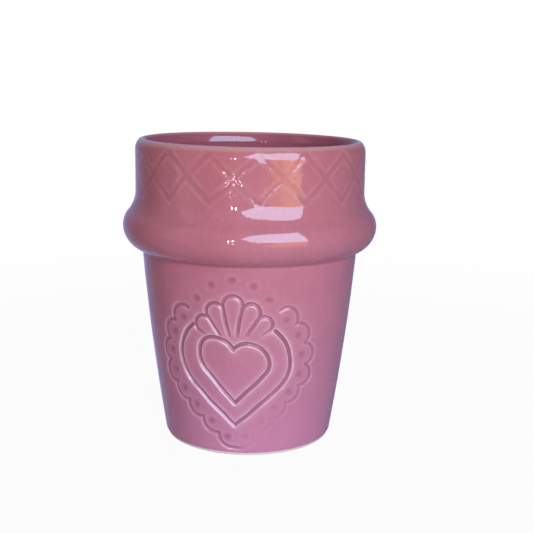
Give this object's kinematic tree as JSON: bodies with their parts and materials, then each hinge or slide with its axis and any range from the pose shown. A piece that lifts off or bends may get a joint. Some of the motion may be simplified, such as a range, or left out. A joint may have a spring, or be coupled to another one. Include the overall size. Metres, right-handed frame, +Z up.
{
  "type": "handle-less collared cup",
  "caption": "Handle-less glazed ceramic coffee cup with a straight rim band, a rounded collar, a tapered wall and a carved heart.",
  "frame": {"origin": "on the cup's axis at the plane that the foot ring stands on", "axes": "+Z up along the cup's axis, -Y towards the carved heart, +X to the right of the heart as it is looked at"},
  "size_m": [0.0846, 0.0846, 0.1],
  "materials": {
    "bare_clay": "fired, bare and matte",
    "pink_glaze": "glossy pink glaze that pools in the carving",
    "inner_glaze": "glossy pink glaze"
  },
  "bodies": {
    "root": {"clay_body": "bare_clay", "outer_glaze": "pink_glaze", "liner_glaze": "inner_glaze", "foot_recess_glaze": "pink_glaze"}
  },
  "joints": []
}
